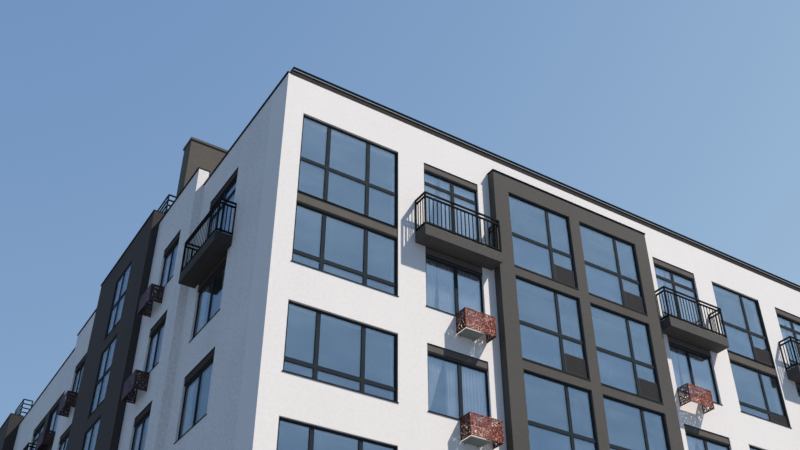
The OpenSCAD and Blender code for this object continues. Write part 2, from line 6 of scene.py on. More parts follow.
import bmesh
import bpy
from mathutils import Matrix, Vector


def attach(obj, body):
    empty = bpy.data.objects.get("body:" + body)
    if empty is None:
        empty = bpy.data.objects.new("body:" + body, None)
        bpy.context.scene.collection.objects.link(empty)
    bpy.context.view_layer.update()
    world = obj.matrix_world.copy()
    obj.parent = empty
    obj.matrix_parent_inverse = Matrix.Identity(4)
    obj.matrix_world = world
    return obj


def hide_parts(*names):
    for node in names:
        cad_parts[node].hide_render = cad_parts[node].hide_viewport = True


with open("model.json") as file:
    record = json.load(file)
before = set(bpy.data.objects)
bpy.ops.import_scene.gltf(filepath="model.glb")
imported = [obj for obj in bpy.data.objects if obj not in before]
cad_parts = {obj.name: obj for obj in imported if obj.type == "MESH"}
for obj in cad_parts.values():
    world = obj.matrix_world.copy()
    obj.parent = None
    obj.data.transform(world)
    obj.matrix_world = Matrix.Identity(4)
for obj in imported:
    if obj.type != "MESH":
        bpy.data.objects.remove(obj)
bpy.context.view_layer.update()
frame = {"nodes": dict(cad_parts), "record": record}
nodes = frame["nodes"]
scene = bpy.context.scene
chance = random.Random(12)

# Sizes that follow the frame, in metres
FRAME_DEPTH = 0.02  # from a window frame's face back to its glass
REVEAL = 0.065  # from a window frame's face out to the wall's
GLASS = 0.024
STOREY = 3.0
GROUND_FLOOR = 0.96
SIDE_STREET_FROM = 1.0  # the Y from which walls belong to the side street or the courtyard
BAYS_BEYOND = 0.1  # window frames of the front's bays lie further out than this
STAIRS_BEYOND = 0.3  # and those of the side street's stair bays than this

# A front window under the first width is slim, and one over the second is a wide one.
# Between them are the grid windows of the bays and of the front's middle.
SLIM_UNDER = 2.2
WIDE_OVER = 2.8

# A curtain's folds: their pitch, their depth at the hem and how much less it is at the head
FOLD_PITCH = 0.105
FOLD_DEPTH = 0.034
FOLD_LOSS = 0.010


# ---- shaders ----

class Value:
    """A shader socket that takes part in plain arithmetic."""

    def __init__(self, shading, socket):
        self.shading = shading
        self.socket = socket

    def __add__(self, other):
        return self.shading.maths("ADD", self, other)

    def __radd__(self, other):
        return self.shading.maths("ADD", other, self)

    def __sub__(self, other):
        return self.shading.maths("SUBTRACT", self, other)

    def __mul__(self, other):
        return self.shading.maths("MULTIPLY", self, other)

    def __rmul__(self, other):
        return self.shading.maths("MULTIPLY", other, self)

    def __gt__(self, other):
        return self.shading.maths("GREATER_THAN", self, other)

    def __lt__(self, other):
        return self.shading.maths("LESS_THAN", self, other)


class Shading:
    """Puts nodes together in the node tree of a material or of the world."""

    def __init__(self, tree):
        self.tree = tree

    def node(self, kind, settings=None, inputs=None, output=0):
        """Adds a node: its settings first, then the values or links of its sockets."""
        made = self.tree.nodes.new("ShaderNode" + kind)
        for name, value in (settings or {}).items():
            setattr(made, name, value)
        for key, value in (inputs or {}).items():
            if isinstance(value, Value):
                self.tree.links.new(value.socket, made.inputs[key])
            else:
                made.inputs[key].default_value = value
        return Value(self, made.outputs[output])

    def maths(self, operation, *values):
        return self.node("Math", {"operation": operation}, dict(enumerate(values)))

    def between(self, value, low, high):
        """0 at or under low, 1 at or over high."""
        inputs = {"Value": value, "From Min": low, "From Max": high}
        return self.node("MapRange", {"clamp": True}, inputs)

    def colour(self, mask, first, second):
        """The first colour where the mask is 0, the second where it is 1."""
        return self.node("Mix", {"data_type": "RGBA"}, {0: mask, 6: first, 7: second}, 2)

    def background_rays(self):
        """1 for rays that show the background: the camera's, mirrored ones and those through glass."""
        kinds = ("Camera", "Glossy", "Transmission")
        camera, glossy, through = (self.node("LightPath", output=f"Is {kind} Ray") for kind in kinds)
        return self.maths("MAXIMUM", camera, self.maths("MAXIMUM", glossy, through))


class Finish(Shading):
    """A procedural material on one Principled shader."""

    def __init__(self, name, **constants):
        self.material = bpy.data.materials.new(name)
        self.material.use_nodes = True
        super().__init__(self.material.node_tree)
        self.shader = self.tree.nodes["Principled BSDF"]
        for socket, value in constants.items():
            self.shader.inputs[socket.replace("_", " ")].default_value = value

    def place(self, stretch=(1, 1, 1)):
        point = self.node("TexCoord", output="Object")
        return self.node("Mapping", {}, {"Vector": point, "Scale": stretch})

    def along(self, axis):
        """The object's X, Y or Z in metres."""
        point = self.node("TexCoord", output="Object")
        return self.node("SeparateXYZ", {}, {0: point}, axis)

    def off_the_front(self):
        """1 on the side street and the courtyard, 0 on the sunny front."""
        return self.along(1) > SIDE_STREET_FROM

    def noise(self, scale, detail=3, stretch=(1, 1, 1)):
        inputs = {"Vector": self.place(stretch), "Scale": scale, "Detail": detail}
        return self.node("TexNoise", {}, inputs)

    def specks(self, scale):
        return self.node("TexVoronoi", {}, {"Vector": self.place(), "Scale": scale})

    def feed(self, socket, value):
        self.tree.links.new(value.socket, self.shader.inputs[socket])

    def relief(self, height, depth):
        inputs = {"Height": height, "Distance": depth, "Strength": 1.0}
        self.feed("Normal", self.node("Bump", {}, inputs, "Normal"))


def tone(red, green, blue, by=1.0):
    return (red * by, green * by, blue * by, 1.0)


def render_coat(name, shade, depth, spread, stain, shaded=1.0, painted_shade_dim=1.0):
    """Trowelled render: cloudy tone, faint run marks and a fine grain.

    Away from the sunny front it is painted in shade: its dark mottles deepen by the shaded factor and
    its whole tone darkens by the last factor."""
    red, green, blue = shade
    dirty = (red * 0.78, green * 0.78, blue * 0.76)
    coat = Finish(name, Specular_IOR_Level=0.25)
    clouds = coat.noise(0.45, 4)
    runs = coat.noise(1.6, 3, (1, 1, 0.08))
    trowel = coat.noise(11.0, 4)
    grain = coat.noise(160.0, 2)
    mask = coat.between(clouds * 0.25 + runs * 0.15 + trowel * 0.6, 0.38, 0.62)
    away = coat.off_the_front()
    # Off the front, deeper mottles and a dimmer tone: painted shade for the walls out of the sun.
    deep = coat.colour(away, tone(*shade, 1 - spread), tone(*shade, painted_shade_dim * (1 - spread * shaded)))
    pale = coat.colour(away, tone(*shade, 1 + spread * 0.5), tone(*shade, painted_shade_dim * (1 + spread * 0.5)))
    base = coat.colour(mask, deep, pale)
    dirt = coat.between(runs * coat.noise(0.9, 2, (1, 1, 0.3)), 0.3, 0.5) * stain
    coat.feed("Base Color", coat.colour(dirt, base, tone(*dirty)))
    coat.feed("Roughness", 0.84 + 0.12 * trowel)
    coat.relief(grain * 0.7 + trowel * 0.6, depth)
    return coat


def painted_metal(name, red, green, blue, rough):
    """Powder-coated metal with dust and slight unevenness."""
    coat = Finish(name, Specular_IOR_Level=0.08)
    dust = coat.between(coat.noise(5.0, 5), 0.42, 0.75)
    orange_peel = coat.noise(420.0, 1)
    dusty = tone(red + 0.012, green + 0.011, blue + 0.01)
    coat.feed("Base Color", coat.colour(dust * 0.35, tone(red, green, blue), dusty))
    coat.feed("Roughness", rough + 0.18 * dust)
    coat.relief(orange_peel, 0.0004)
    return coat


def stone_cladding():
    """Grey stone slabs, 0.9 by 0.32 m, in running bond."""
    stone = Finish("stone_cladding")
    run = stone.along(0) + stone.along(1)
    rise = stone.along(2)
    point = stone.node("CombineXYZ", {}, {0: run, 1: rise})
    slabs = {"Vector": point, "Scale": 1.0, "Brick Width": 0.9, "Row Height": 0.32, "Mortar Size": 0.006}
    joint = stone.node("TexBrick", {}, slabs, "Fac")
    veins = stone.noise(3.0, 6)
    flecks = stone.noise(60.0, 3)
    mask = stone.between(veins * 0.6 + flecks * 0.4, 0.35, 0.65)
    base = stone.colour(mask, tone(0.19, 0.18, 0.165), tone(0.27, 0.26, 0.24))
    stone.feed("Base Color", stone.colour(joint, base, tone(0.08, 0.078, 0.074)))
    stone.feed("Roughness", 0.7 + 0.2 * flecks)
    stone.relief(flecks * 0.3 - joint * 2.0, 0.004)
    return stone


def bare_concrete():
    """Cast concrete with clouds and pores."""
    concrete = Finish("bare_concrete", Roughness=0.85)
    clouds = concrete.noise(1.2, 5)
    pores = concrete.specks(70.0)
    mask = concrete.between(clouds, 0.35, 0.65)
    base = concrete.colour(mask, tone(0.30, 0.295, 0.28), tone(0.40, 0.395, 0.38))
    concrete.feed("Base Color", base)
    concrete.relief(concrete.between(pores, 0.0, 0.25) + clouds * 0.5, 0.003)
    return concrete


def roofing_felt():
    """Mineral felt in one-metre strips with a darker lap at each seam."""
    felt = Finish("roofing_felt", Roughness=0.92)
    strip = felt.maths("FRACT", felt.along(0))
    seam = felt.between(felt.maths("ABSOLUTE", strip - 0.5), 0.485, 0.495)
    grit = felt.noise(220.0, 2)
    clouds = felt.noise(0.6, 4)
    mask = felt.between(clouds * 0.6 + grit * 0.4, 0.35, 0.65)
    base = felt.colour(mask, tone(0.10, 0.10, 0.102), tone(0.17, 0.17, 0.17))
    felt.feed("Base Color", felt.colour(seam * 0.7, base, tone(0.05, 0.05, 0.052)))
    felt.relief(grit * 0.5 + seam, 0.004)
    return felt


def window_glass():
    """Coated double glazing: a faint mirror that shows what is behind it.

    Its mirror colour is a painted reflection: bluer on the front, paler from the fourth storey to the
    sixth, with pale painted cloud streaks."""
    paler_reflection_from, paler_reflection_to = 10.5, 18.5
    glass = Finish("window_glass", Metallic=1.0, Alpha=0.38)
    waves = glass.noise(0.8, 2)
    # Streaks of varied roughness that also pale the mirror: a painted reflection of thin clouds.
    film_and_painted_clouds = glass.between(glass.noise(0.9, 4, (0.6, 0.6, 1.8)), 0.4, 0.7)
    # Paler higher up and set per wall: a painted reflection of the sky.
    high = glass.between(glass.along(2), paler_reflection_from, paler_reflection_to)
    tint = glass.colour(glass.off_the_front(), tone(0.325, 0.415, 0.58), tone(0.46, 0.56, 0.60))
    glass.feed("Base Color", glass.colour(0.7 * high + 0.3 * film_and_painted_clouds, tint, tone(0.62, 0.71, 0.86)))
    glass.feed("Roughness", 0.02 + 0.05 * film_and_painted_clouds)
    glass.relief(waves, 0.0008)
    return glass


def street_coping():
    """The tall coping: a bronze face under a black cap with a pale drip edge, whose paleness is partly a
    painted highlight along that edge.

    The lower copings of the bays are black."""
    bays_top, drip_highlight_foot, cap_foot, drip_highlight_top = 19.5, 20.0505, 20.0835, 20.084
    sheet = Finish("street_coping", Specular_IOR_Level=0.0)
    height = sheet.along(2)
    dust = sheet.between(sheet.noise(3.0, 5), 0.4, 0.75)
    face = sheet.colour(dust, tone(0.050, 0.045, 0.042), tone(0.064, 0.058, 0.053))
    # The pale band at the cap's foot: a drip edge painted light as the highlight it catches.
    drip_and_highlight = (height > drip_highlight_foot) * (height < drip_highlight_top)
    fold = sheet.colour(drip_and_highlight, face, tone(0.25, 0.27, 0.29))
    dark = sheet.maths("MAXIMUM", height > cap_foot, height < bays_top)
    sheet.feed("Base Color", sheet.colour(dark, fold, tone(0.007, 0.014, 0.023)))
    sheet.feed("Roughness", 0.75 + 0.15 * dust)
    sheet.relief(dust, 0.0005)
    return sheet


def dark_panel_coat():
    """Grey-brown sheet with soft clouds, in painted shade off the front."""
    coat = Finish("dark_panels", Specular_IOR_Level=0.1)
    clouds = coat.noise(1.8, 4)
    grain = coat.noise(90.0, 2)
    mask = coat.between(clouds * 0.7 + grain * 0.3, 0.36, 0.64)
    sunny = coat.colour(mask, tone(0.100, 0.094, 0.088), tone(0.124, 0.117, 0.110))
    # A darker copy for the side street and courtyard: painted shade.
    shaded = coat.colour(mask, tone(0.040, 0.030, 0.028), tone(0.050, 0.037, 0.034))
    coat.feed("Base Color", coat.colour(coat.off_the_front(), sunny, shaded))
    coat.feed("Roughness", 0.8 + 0.12 * clouds)
    coat.relief(grain, 0.0008)
    return coat


def red_basket_paint(name, shade, side_street_shade_tone):
    """Red paint in a fading tone with painted dark specks for the shade in its holes and pale painted
    glints a few centimetres wide; on the side street it is painted toward the given shade tone.
    """
    # Share of the side street's painted shade tone.
    side_street_shade_share = 0.75
    paint = Finish(name, Specular_IOR_Level=0.12)
    fade = paint.between(paint.noise(2.2, 4), 0.35, 0.7)
    # Dark specks: painted shade for the dim inside seen through the holes.
    painted_hole_shade = paint.between(paint.noise(26.0, 2), 0.48, 0.55)
    # Pale specks: painted glints where sunlit edges catch the light.
    painted_glints = paint.between(paint.noise(34.0, 1), 0.59, 0.65)
    # The shade factor darkens the whole paint: painted shade for the side sheets.
    base = paint.colour(fade, tone(0.215, 0.053, 0.037, shade), tone(0.285, 0.078, 0.056, shade))
    with_hole_shade = paint.colour(painted_hole_shade * 0.85, base, tone(0.070, 0.022, 0.018, shade))
    with_glints = paint.colour(painted_glints * 0.8, with_hole_shade, tone(0.72, 0.45, 0.36, shade))
    in_side_street_shade = paint.colour(side_street_shade_share, with_hole_shade, side_street_shade_tone)
    paint.feed("Base Color", paint.colour(paint.off_the_front(), with_glints, in_side_street_shade))
    paint.feed("Roughness", 0.74 + 0.2 * painted_hole_shade)
    paint.relief(paint.noise(180.0, 2) + painted_glints, 0.0008)
    return paint


def sheer_cloth(name, cover, thin, thick):
    """Woven sheer that hides the cover share of what is behind it.

    Its colour goes from the thin weave's to the thick one's."""
    cloth = Finish(name, Roughness=0.95, Alpha=cover)
    warp = cloth.noise(300.0, 1, (1, 1, 0.2))
    weft = cloth.noise(300.0, 1, (0.2, 0.2, 1))
    weave = cloth.between(warp + weft, 0.7, 1.3)
    cloth.feed("Base Color", cloth.colour(weave, tone(*thin), tone(*thick)))
    cloth.relief(warp + weft, 0.0006)
    return cloth


WHITE = (0.805, 0.795, 0.787)
BROWN = (0.079, 0.0765, 0.0725)
# A darker brown for the stair bays and the side wall's band: painted shade of the side street.
SHADED_BROWN = (0.043, 0.039, 0.039)
STACK = (0.098, 0.090, 0.080)

finishes = {
    # Its dark mottles deepen fourfold off the front: painted shade on the walls out of the sun.
    "white_render": render_coat("white_render", WHITE, 0.003, 0.042, 0.12, shaded=4.0),
    "brown_render": render_coat("brown_render", BROWN, 0.004, 0.14, 0.2),
    # The balcony slabs' render is dimmed on the side street: painted shade.
    "slab_render": render_coat("slab_render", BROWN, 0.004, 0.14, 0.2, painted_shade_dim=0.45),
    "dark_render": render_coat("dark_render", SHADED_BROWN, 0.004, 0.14, 0.2),
    "stack_render": render_coat("stack_render", STACK, 0.004, 0.16, 0.25),
    "plinth": stone_cladding(),
    "concrete": bare_concrete(),
    "roofing": roofing_felt(),
    "coping": painted_metal("coping_sheet", 0.012, 0.013, 0.015, 0.75),
    "street_coping": street_coping(),
    "frames": painted_metal("window_sections", 0.017, 0.027, 0.037, 0.78),
    "glazing": window_glass(),
    "panels": dark_panel_coat(),
    "railings": painted_metal("railing_steel", 0.007, 0.009, 0.010, 0.85),
    # On the side street the fronts are painted dark and bluish: painted shade and a painted sky
    # reflection.
    "baskets": red_basket_paint("red_basket_paint", 1.0, tone(0.092, 0.098, 0.140)),
    # The side sheets are painted darker throughout, painted shade, and darker still on the side street.
    "basket_ends": red_basket_paint("shaded_basket_paint", 0.32, tone(0.054, 0.038, 0.036)),
    "rail": painted_metal("pale_rail", 0.42, 0.45, 0.45, 0.7),
    "galvanised": painted_metal("galvanised_tray", 0.26, 0.29, 0.27, 0.7),
    "louvre": painted_metal("louvre_paint", 0.040, 0.040, 0.045, 0.75),
    "door": painted_metal("door_steel", 0.045, 0.05, 0.055, 0.4),
    "curtain": sheer_cloth("sheer_cloth", 0.9, (0.76, 0.80, 0.82), (0.88, 0.91, 0.92)),
    "bay_curtain": sheer_cloth("pale_blue_sheer", 0.28, (0.24, 0.52, 0.80), (0.28, 0.60, 0.92)),
}

finish_of_node = {row["node"]: row["material_slot"] for row in frame["record"]["subparts"]}
finish_of_node.update(
    # The side street's stair bays and band, and the balcony slabs, take finishes with painted shade.
    stair_bays="dark_render",
    side_wall_band="dark_render",
    balcony_slabs="slab_render",
    vent_stack="stack_render",
    front_coping="street_coping",
)
for name, finish in finish_of_node.items():
    shown = nodes[name]
    shown.data.materials.clear()
    shown.data.materials.append(finishes[finish].material)


# ---- making pieces ----

def loose_parts(mesh):
    """Each loose part's lowest and highest corner and its points, in a fixed order."""
    waiting = dict.fromkeys(mesh.verts)
    parts = []
    while waiting:
        seed = next(iter(waiting))
        del waiting[seed]
        group, frontier = [seed], [seed]
        while frontier:
            for link in frontier.pop().link_edges:
                for other in link.verts:
                    if other in waiting:
                        del waiting[other]
                        group.append(other)
                        frontier.append(other)
        points = [v.co.copy() for v in group]
        low = Vector([min(p[i] for p in points) for i in range(3)])
        high = Vector([max(p[i] for p in points) for i in range(3)])
        parts.append((low, high, points))
    parts.sort(key=lambda part: tuple(round(v, 3) for v in part[0]))
    return parts


def solids(name):
    """The separate solids of a frame node."""
    weld = 0.0002
    mesh = bmesh.new()
    mesh.from_mesh(nodes[name].data)
    bmesh.ops.remove_doubles(mesh, verts=mesh.verts, dist=weld)
    parts = loose_parts(mesh)
    mesh.free()
    return parts


def block(mesh, first, second, turn=None):
    """A closed box between two corners, turned about its middle if asked."""
    low = Vector([min(a, b) for a, b in zip(first, second)])
    high = Vector([max(a, b) for a, b in zip(first, second)])
    size = Matrix.Diagonal((*(high - low), 1.0))
    place = Matrix.Translation((low + high) / 2) @ (turn or Matrix()) @ size
    bmesh.ops.create_cube(mesh, size=1.0, matrix=place)


def bar(mesh, wall, runs, outs, heights):
    """A box on a wall, between two runs along it, two distances out of it and two heights."""
    block(mesh, *(wall.at(*corner) for corner in zip(runs, outs, heights)))


def rim(mesh, wall, runs, outs, heights, wide):
    """A rectangle of bars, with its uprights over the full height."""
    (left, right), (low, high) = runs, heights
    bar(mesh, wall, (left, left + wide), outs, heights)
    bar(mesh, wall, (right - wide, right), outs, heights)
    bar(mesh, wall, (left + wide, right - wide), outs, (low, low + wide))
    bar(mesh, wall, (left + wide, right - wide), outs, (high - wide, high))


def piece(name, mesh, finish, replaced=()):
    """Closes a mesh into an object that belongs to the block."""
    data = bpy.data.meshes.new(name)
    mesh.to_mesh(data)
    mesh.free()
    data.materials.append(finishes[finish].material)
    made = bpy.data.objects.new(name, data)
    scene.collection.objects.link(made)
    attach(made, "root")
    if replaced:
        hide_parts(*replaced)
    return made


class Wall:
    """A wall's two directions: along it and out of it."""

    def __init__(self, along, out):
        self.along = Vector(along)
        self.out = Vector(out)

    def at(self, run, out, height):
        return self.along * run + self.out * out + Vector((0, 0, height))

    def run(self, corner):
        return self.along.dot(corner)

    def face(self, low, high):
        """How far out the outer face of a box lies."""
        return max(self.out.dot(low), self.out.dot(high))


FRONT = Wall((1, 0, 0), (0, -1, 0))
SIDE = Wall((0, 1, 0), (-1, 0, 0))
FRONT_COURT = Wall((1, 0, 0), (0, 1, 0))
SIDE_COURT = Wall((0, 1, 0), (1, 0, 0))


def wall_of(low, high, court=False):
    """The wall that a flat box lies in."""
    thin_y = high.y - low.y < high.x - low.x
    if court:
        return FRONT_COURT if thin_y else SIDE_COURT
    return FRONT if thin_y else SIDE


def windows(name, court=False):
    """Each window as its wall, its frame's outer face and the edges of its lights."""
    for low, high, points in solids(name):
        wall = wall_of(low, high, court)
        runs = sorted({round(wall.run(p), 3) for p in points})
        heights = sorted({round(p.z, 3) for p in points})
        yield wall, wall.face(low, high), runs, heights


all_windows = [
    *windows("front_window_frames"),
    *windows("side_window_frames"),
    *windows("court_window_frames", court=True),
]


def lights(edges):
    """The clear stretches between a frame's borders and bars."""
    return list(zip(edges[1:-1:2], edges[2:-1:2]))


def glazing_beads():
    """A slim bead runs round the glass of every light."""
    bead = 0.010
    mesh = bmesh.new()
    for wall, face, runs, heights in all_windows:
        back = face - FRAME_DEPTH
        for across in lights(runs):
            for upward in lights(heights):
                rim(mesh, wall, across, (back, back + bead), upward, bead)
    piece("glazing_beads", mesh, "frames")


def reveal_linings():
    """Dark sheet lines the jambs of the wider street windows."""
    sheet, short = 0.004, 0.004
    mesh = bmesh.new()
    for wall, face, runs, heights in all_windows:
        if wall is not FRONT or runs[-1] - runs[0] < SLIM_UNDER:
            continue
        outs = (face, face + REVEAL - short)
        for run, inward in ((runs[0], sheet), (runs[-1], -sheet)):
            bar(mesh, wall, (run, run + inward), outs, (heights[0], heights[-1]))
    piece("reveal_linings", mesh, "panels")


def panel_flashings():
    """Each dark panel has a black drip edge at its foot and a lid.

    The bands between wide windows have a taller edge under the lid."""
    sheet, foot, top = 0.005, 0.045, 0.07
    lid_sheet, lid_reach = 0.004, 0.024
    mesh = bmesh.new()
    for low, high, _ in solids("dark_panels"):
        wall = wall_of(low, high)
        across = left, right = sorted((wall.run(low), wall.run(high)))
        face = wall.face(low, high)
        bar(mesh, wall, across, (face, face + sheet), (low.z, low.z + foot))
        bar(mesh, wall, across, (face, face + lid_reach), (high.z - lid_sheet, high.z))
        if right - left > SLIM_UNDER:
            bar(mesh, wall, across, (face, face + sheet), (high.z - top, high.z - lid_sheet))
    piece("panel_flashings", mesh, "coping")


def bay_sill_edges():
    """A black folded edge along the foot of each window in the front's dark bays."""
    stand, fold, upstand, sheet = 0.008, 0.042, 0.022, 0.004
    mesh = bmesh.new()
    for wall, face, runs, heights in all_windows:
        if wall is FRONT and face > BAYS_BEYOND:
            outer = face + REVEAL
            sill = heights[0]
            across = (runs[0], runs[-1])
            bar(mesh, wall, across, (outer, outer + stand), (sill - fold, sill + upstand))
            bar(mesh, wall, across, (face, outer), (sill, sill + sheet))
    piece("bay_sill_edges", mesh, "coping")


def louvres():
    """Panels of steep overlapping slats in a rim, in the low right lights."""
    border, slat, sheet, back_sheet, half_share = 0.04, 0.075, 0.003, 0.004, 0.42
    mesh, backs = bmesh.new(), bmesh.new()
    for low, high, _ in solids("louvre_panels"):
        back = high.y - back_sheet
        block(backs, (low.x, back, low.z), high)
        rim(mesh, FRONT, (low.x, high.x), (-low.y, -back), (low.z, high.z), border)
        clear = high.z - low.z - 2 * border
        count = max(1, int(clear / slat))
        pitch = clear / count
        half = pitch * half_share
        turn = Matrix.Rotation(math.atan2(back - low.y - 2 * sheet, pitch), 4, "X")
        middle = (low.y + back) / 2
        for i in range(count):
            level = low.z + border + (i + 0.5) * pitch
            first = (low.x + border, middle - sheet / 2, level - half)
            second = (high.x - border, middle + sheet / 2, level + half)
            block(mesh, first, second, turn)
    piece("louvre_slats", mesh, "louvre", ("louvre_panels",))
    piece("louvre_backs", backs, "coping")


# ---- baskets ----

BASKET_RIM = 0.028
BASKET_FRAME_DEPTH = 0.016
BASKET_REACH = 0.43  # from the street wall out to a basket's front
NETS_OF_A_KIND = 4

# A net's columns and rows of holes, the width of its bands and the share of joined holes
FRONT_LACE = (18, 11, 0.0155, 0.11)
OPEN_LACE = (8, 11, 0.0135, 0.14)
TRAY_LACE = (8, 11, 0.0165, 0.07)
SIDE_STREET_LACE = (8, 11, 0.0185, 0.03)


def lace_sheet(wide, high, columns, rows, band, joined, seed):
    """An irregular net of thin bands, flat in X and Z and centred.

    The joined share of its holes run into the next one."""
    jitter, thick, border_from = 0.3, 0.005, 0.499
    pick = random.Random(seed)
    mesh = bmesh.new()
    bmesh.ops.create_grid(mesh, x_segments=columns, y_segments=rows, size=0.5)
    for vert in mesh.verts:
        edge_x, edge_y = abs(vert.co.x) > border_from, abs(vert.co.y) > border_from
        vert.co.x += 0 if edge_x else pick.uniform(-jitter, jitter) / columns
        vert.co.y += 0 if edge_y else pick.uniform(-jitter, jitter) / rows
    inner = [edge for edge in mesh.edges if not edge.is_boundary]
    merged = [edge for edge in inner if pick.random() < joined]
    bmesh.ops.dissolve_edges(mesh, edges=merged, use_verts=False)
    bmesh.ops.scale(mesh, vec=(wide, high, 1.0), verts=mesh.verts)
    cells = list(mesh.faces)
    bmesh.ops.inset_individual(mesh, faces=cells, thickness=band, use_even_offset=True)
    bmesh.ops.delete(mesh, geom=cells, context="FACES")
    upright = Matrix.Rotation(math.radians(90), 3, "X")
    bmesh.ops.rotate(mesh, matrix=upright, verts=mesh.verts)
    bmesh.ops.solidify(mesh, geom=mesh.faces, thickness=thick)
    made = bpy.data.meshes.new("lace")
    mesh.to_mesh(made)
    mesh.free()
    return made


def nets(sheet, lace, first_seed):
    """The nets of one kind, as large as a basket's sheet inside its frame."""
    overlap = 0.01
    low, high, _ = sheet
    size = high - low
    lap = 2 * BASKET_RIM - overlap
    seeds = range(first_seed, first_seed + NETS_OF_A_KIND)
    return [lace_sheet(max(size.x, size.y) - lap, size.z - lap, *lace, seed) for seed in seeds]


def pierced_sheets(name, sheets, nets_for, node, finish):
    """Frames the nets as the baskets' sheets; nets_for says which kind goes where."""
    mesh = bmesh.new()
    for number, (low, high, _) in enumerate(sheets):
        middle = (low + high) / 2
        wall = wall_of(low, high)
        turn = Matrix() if wall is FRONT else Matrix.Rotation(math.radians(90), 4, "Z")
        before = set(mesh.verts)
        mesh.from_mesh(nets_for(middle)[number % NETS_OF_A_KIND])
        fresh = [v for v in mesh.verts if v not in before]
        bmesh.ops.transform(mesh, matrix=Matrix.Translation(middle) @ turn, verts=fresh)
        first, last = wall.run(low), wall.run(high)
        back = wall.out.dot(middle) - BASKET_FRAME_DEPTH / 2
        outs = (back, back + BASKET_FRAME_DEPTH)
        foot, head = low.z + BASKET_RIM, high.z - BASKET_RIM
        for rail in ((low.z, foot), (head, high.z)):
            bar(mesh, wall, (first, last), outs, rail)
        for post in ((first, first + BASKET_RIM), (last - BASKET_RIM, last)):
            bar(mesh, wall, post, outs, (foot, head))
    piece(name, mesh, finish, (node,))


def baskets():
    """Pierced sheets in slim frames; the nets of the side sheets are closer by a tray.

    The side street's are the closest."""
    before, past = 0.1, 1.3  # how far along a tray's basket reaches from its low end
    fronts = solids("basket_fronts")
    sides = solids("basket_sides")
    with_tray = tray_fronts(fronts)
    wide_nets = nets(fronts[0], FRONT_LACE, 0)
    open_nets, tray_nets, side_street_nets = (
        nets(sides[0], lace, 10) for lace in (OPEN_LACE, TRAY_LACE, SIDE_STREET_LACE)
    )

    def side_nets(middle):
        if middle.y > SIDE_STREET_FROM:
            return side_street_nets
        by_tray = any(low.x - before < middle.x < low.x + past for low, _, _ in with_tray)
        return tray_nets if by_tray else open_nets

    pierced_sheets("basket_front_lace", fronts, lambda _: wide_nets, "basket_fronts", "baskets")
    pierced_sheets("basket_side_lace", sides, side_nets, "basket_sides", "basket_ends")
    trays(with_tray)


def tray_fronts(fronts):
    """The fronts of the baskets in the street front's outer columns."""
    slack = 0.01
    street = [part for part in fronts if wall_of(*part[:2]) is FRONT]
    starts = [low.x for low, _, _ in street]
    first, last = min(starts) + slack, max(starts) - slack
    return [part for part in street if part[0].x < first or part[0].x > last]


def trays(fronts):
    """A folded tray on two flat brackets lies under each of these baskets."""
    wide, sheet, lip, inset, clear, level = 0.60, 0.003, 0.012, 0.012, 0.003, 0.038
    bracket, half_bracket, bracket_in, bracket_drop = 0.008, 0.012, 0.1, 0.05
    metal = bmesh.new()
    for low, high, _ in fronts:
        face = FRONT.face(low, high)
        start, end = low.x + inset, low.x + inset + wide
        wall_face = face - BASKET_REACH
        near, far = wall_face + clear, face - inset
        base = low.z - level
        rise = (base + sheet, base + lip)
        bar(metal, FRONT, (start, end), (near, far), (base, base + sheet))
        for run, inward in ((start, sheet), (end, -sheet)):
            bar(metal, FRONT, (run, run + inward), (near, far), rise)
        for edge, inward in ((near, sheet), (far, -sheet)):
            bar(metal, FRONT, (start + sheet, end - sheet), (edge, edge + inward), rise)
        for run in (start + bracket_in, end - bracket_in):
            across = (run - half_bracket, run + half_bracket)
            upright = (wall_face, wall_face + bracket)
            bar(metal, FRONT, across, (wall_face, far), (base - bracket, base))
            bar(metal, FRONT, across, upright, (base - bracket_drop, base - bracket))
    piece("unit_trays", metal, "galvanised")


# ---- curtains ----

def fold_length(depth, pitch):
    """The cloth that one wave of a curtain takes."""
    steps = 64
    heights = [depth * math.sin(2 * math.pi * i / steps) for i in range(steps + 1)]
    return sum(math.hypot(pitch / steps, b - a) for a, b in zip(heights, heights[1:]))


def curtain(mesh, wall, left, right, swept, out, low, high):
    """One hung width of cloth in even folds.

    Its free edge is drawn aside towards the hem by the swept share."""
    per_fold, rows = 8, 3
    sway, sway_by_run, sway_by_rise = 0.010, 3.1, 2
    width = right - left
    count = max(2, round(width / FOLD_PITCH)) * per_fold
    grid = bmesh.ops.create_grid(mesh, x_segments=count, y_segments=rows, size=0.5)["verts"]
    swing = chance.uniform(0, 6.28)
    for vert in grid:
        share, rise = vert.co.x + 0.5, vert.co.y + 0.5
        run = left + share * width * (1 - swept * (1 - rise))
        wave = math.sin(2 * math.pi * width * share / FOLD_PITCH + swing)
        depth = (FOLD_DEPTH - FOLD_LOSS * rise) * wave
        depth += sway * math.sin(sway_by_run * run + sway_by_rise * rise)
        vert.co = wall.at(run, out + depth, low + rise * (high - low))


def in_grid(wall, runs):
    """Whether a window is a grid window of the bays or of the front's middle."""
    return wall is FRONT and SLIM_UNDER < runs[-1] - runs[0] < WIDE_OVER


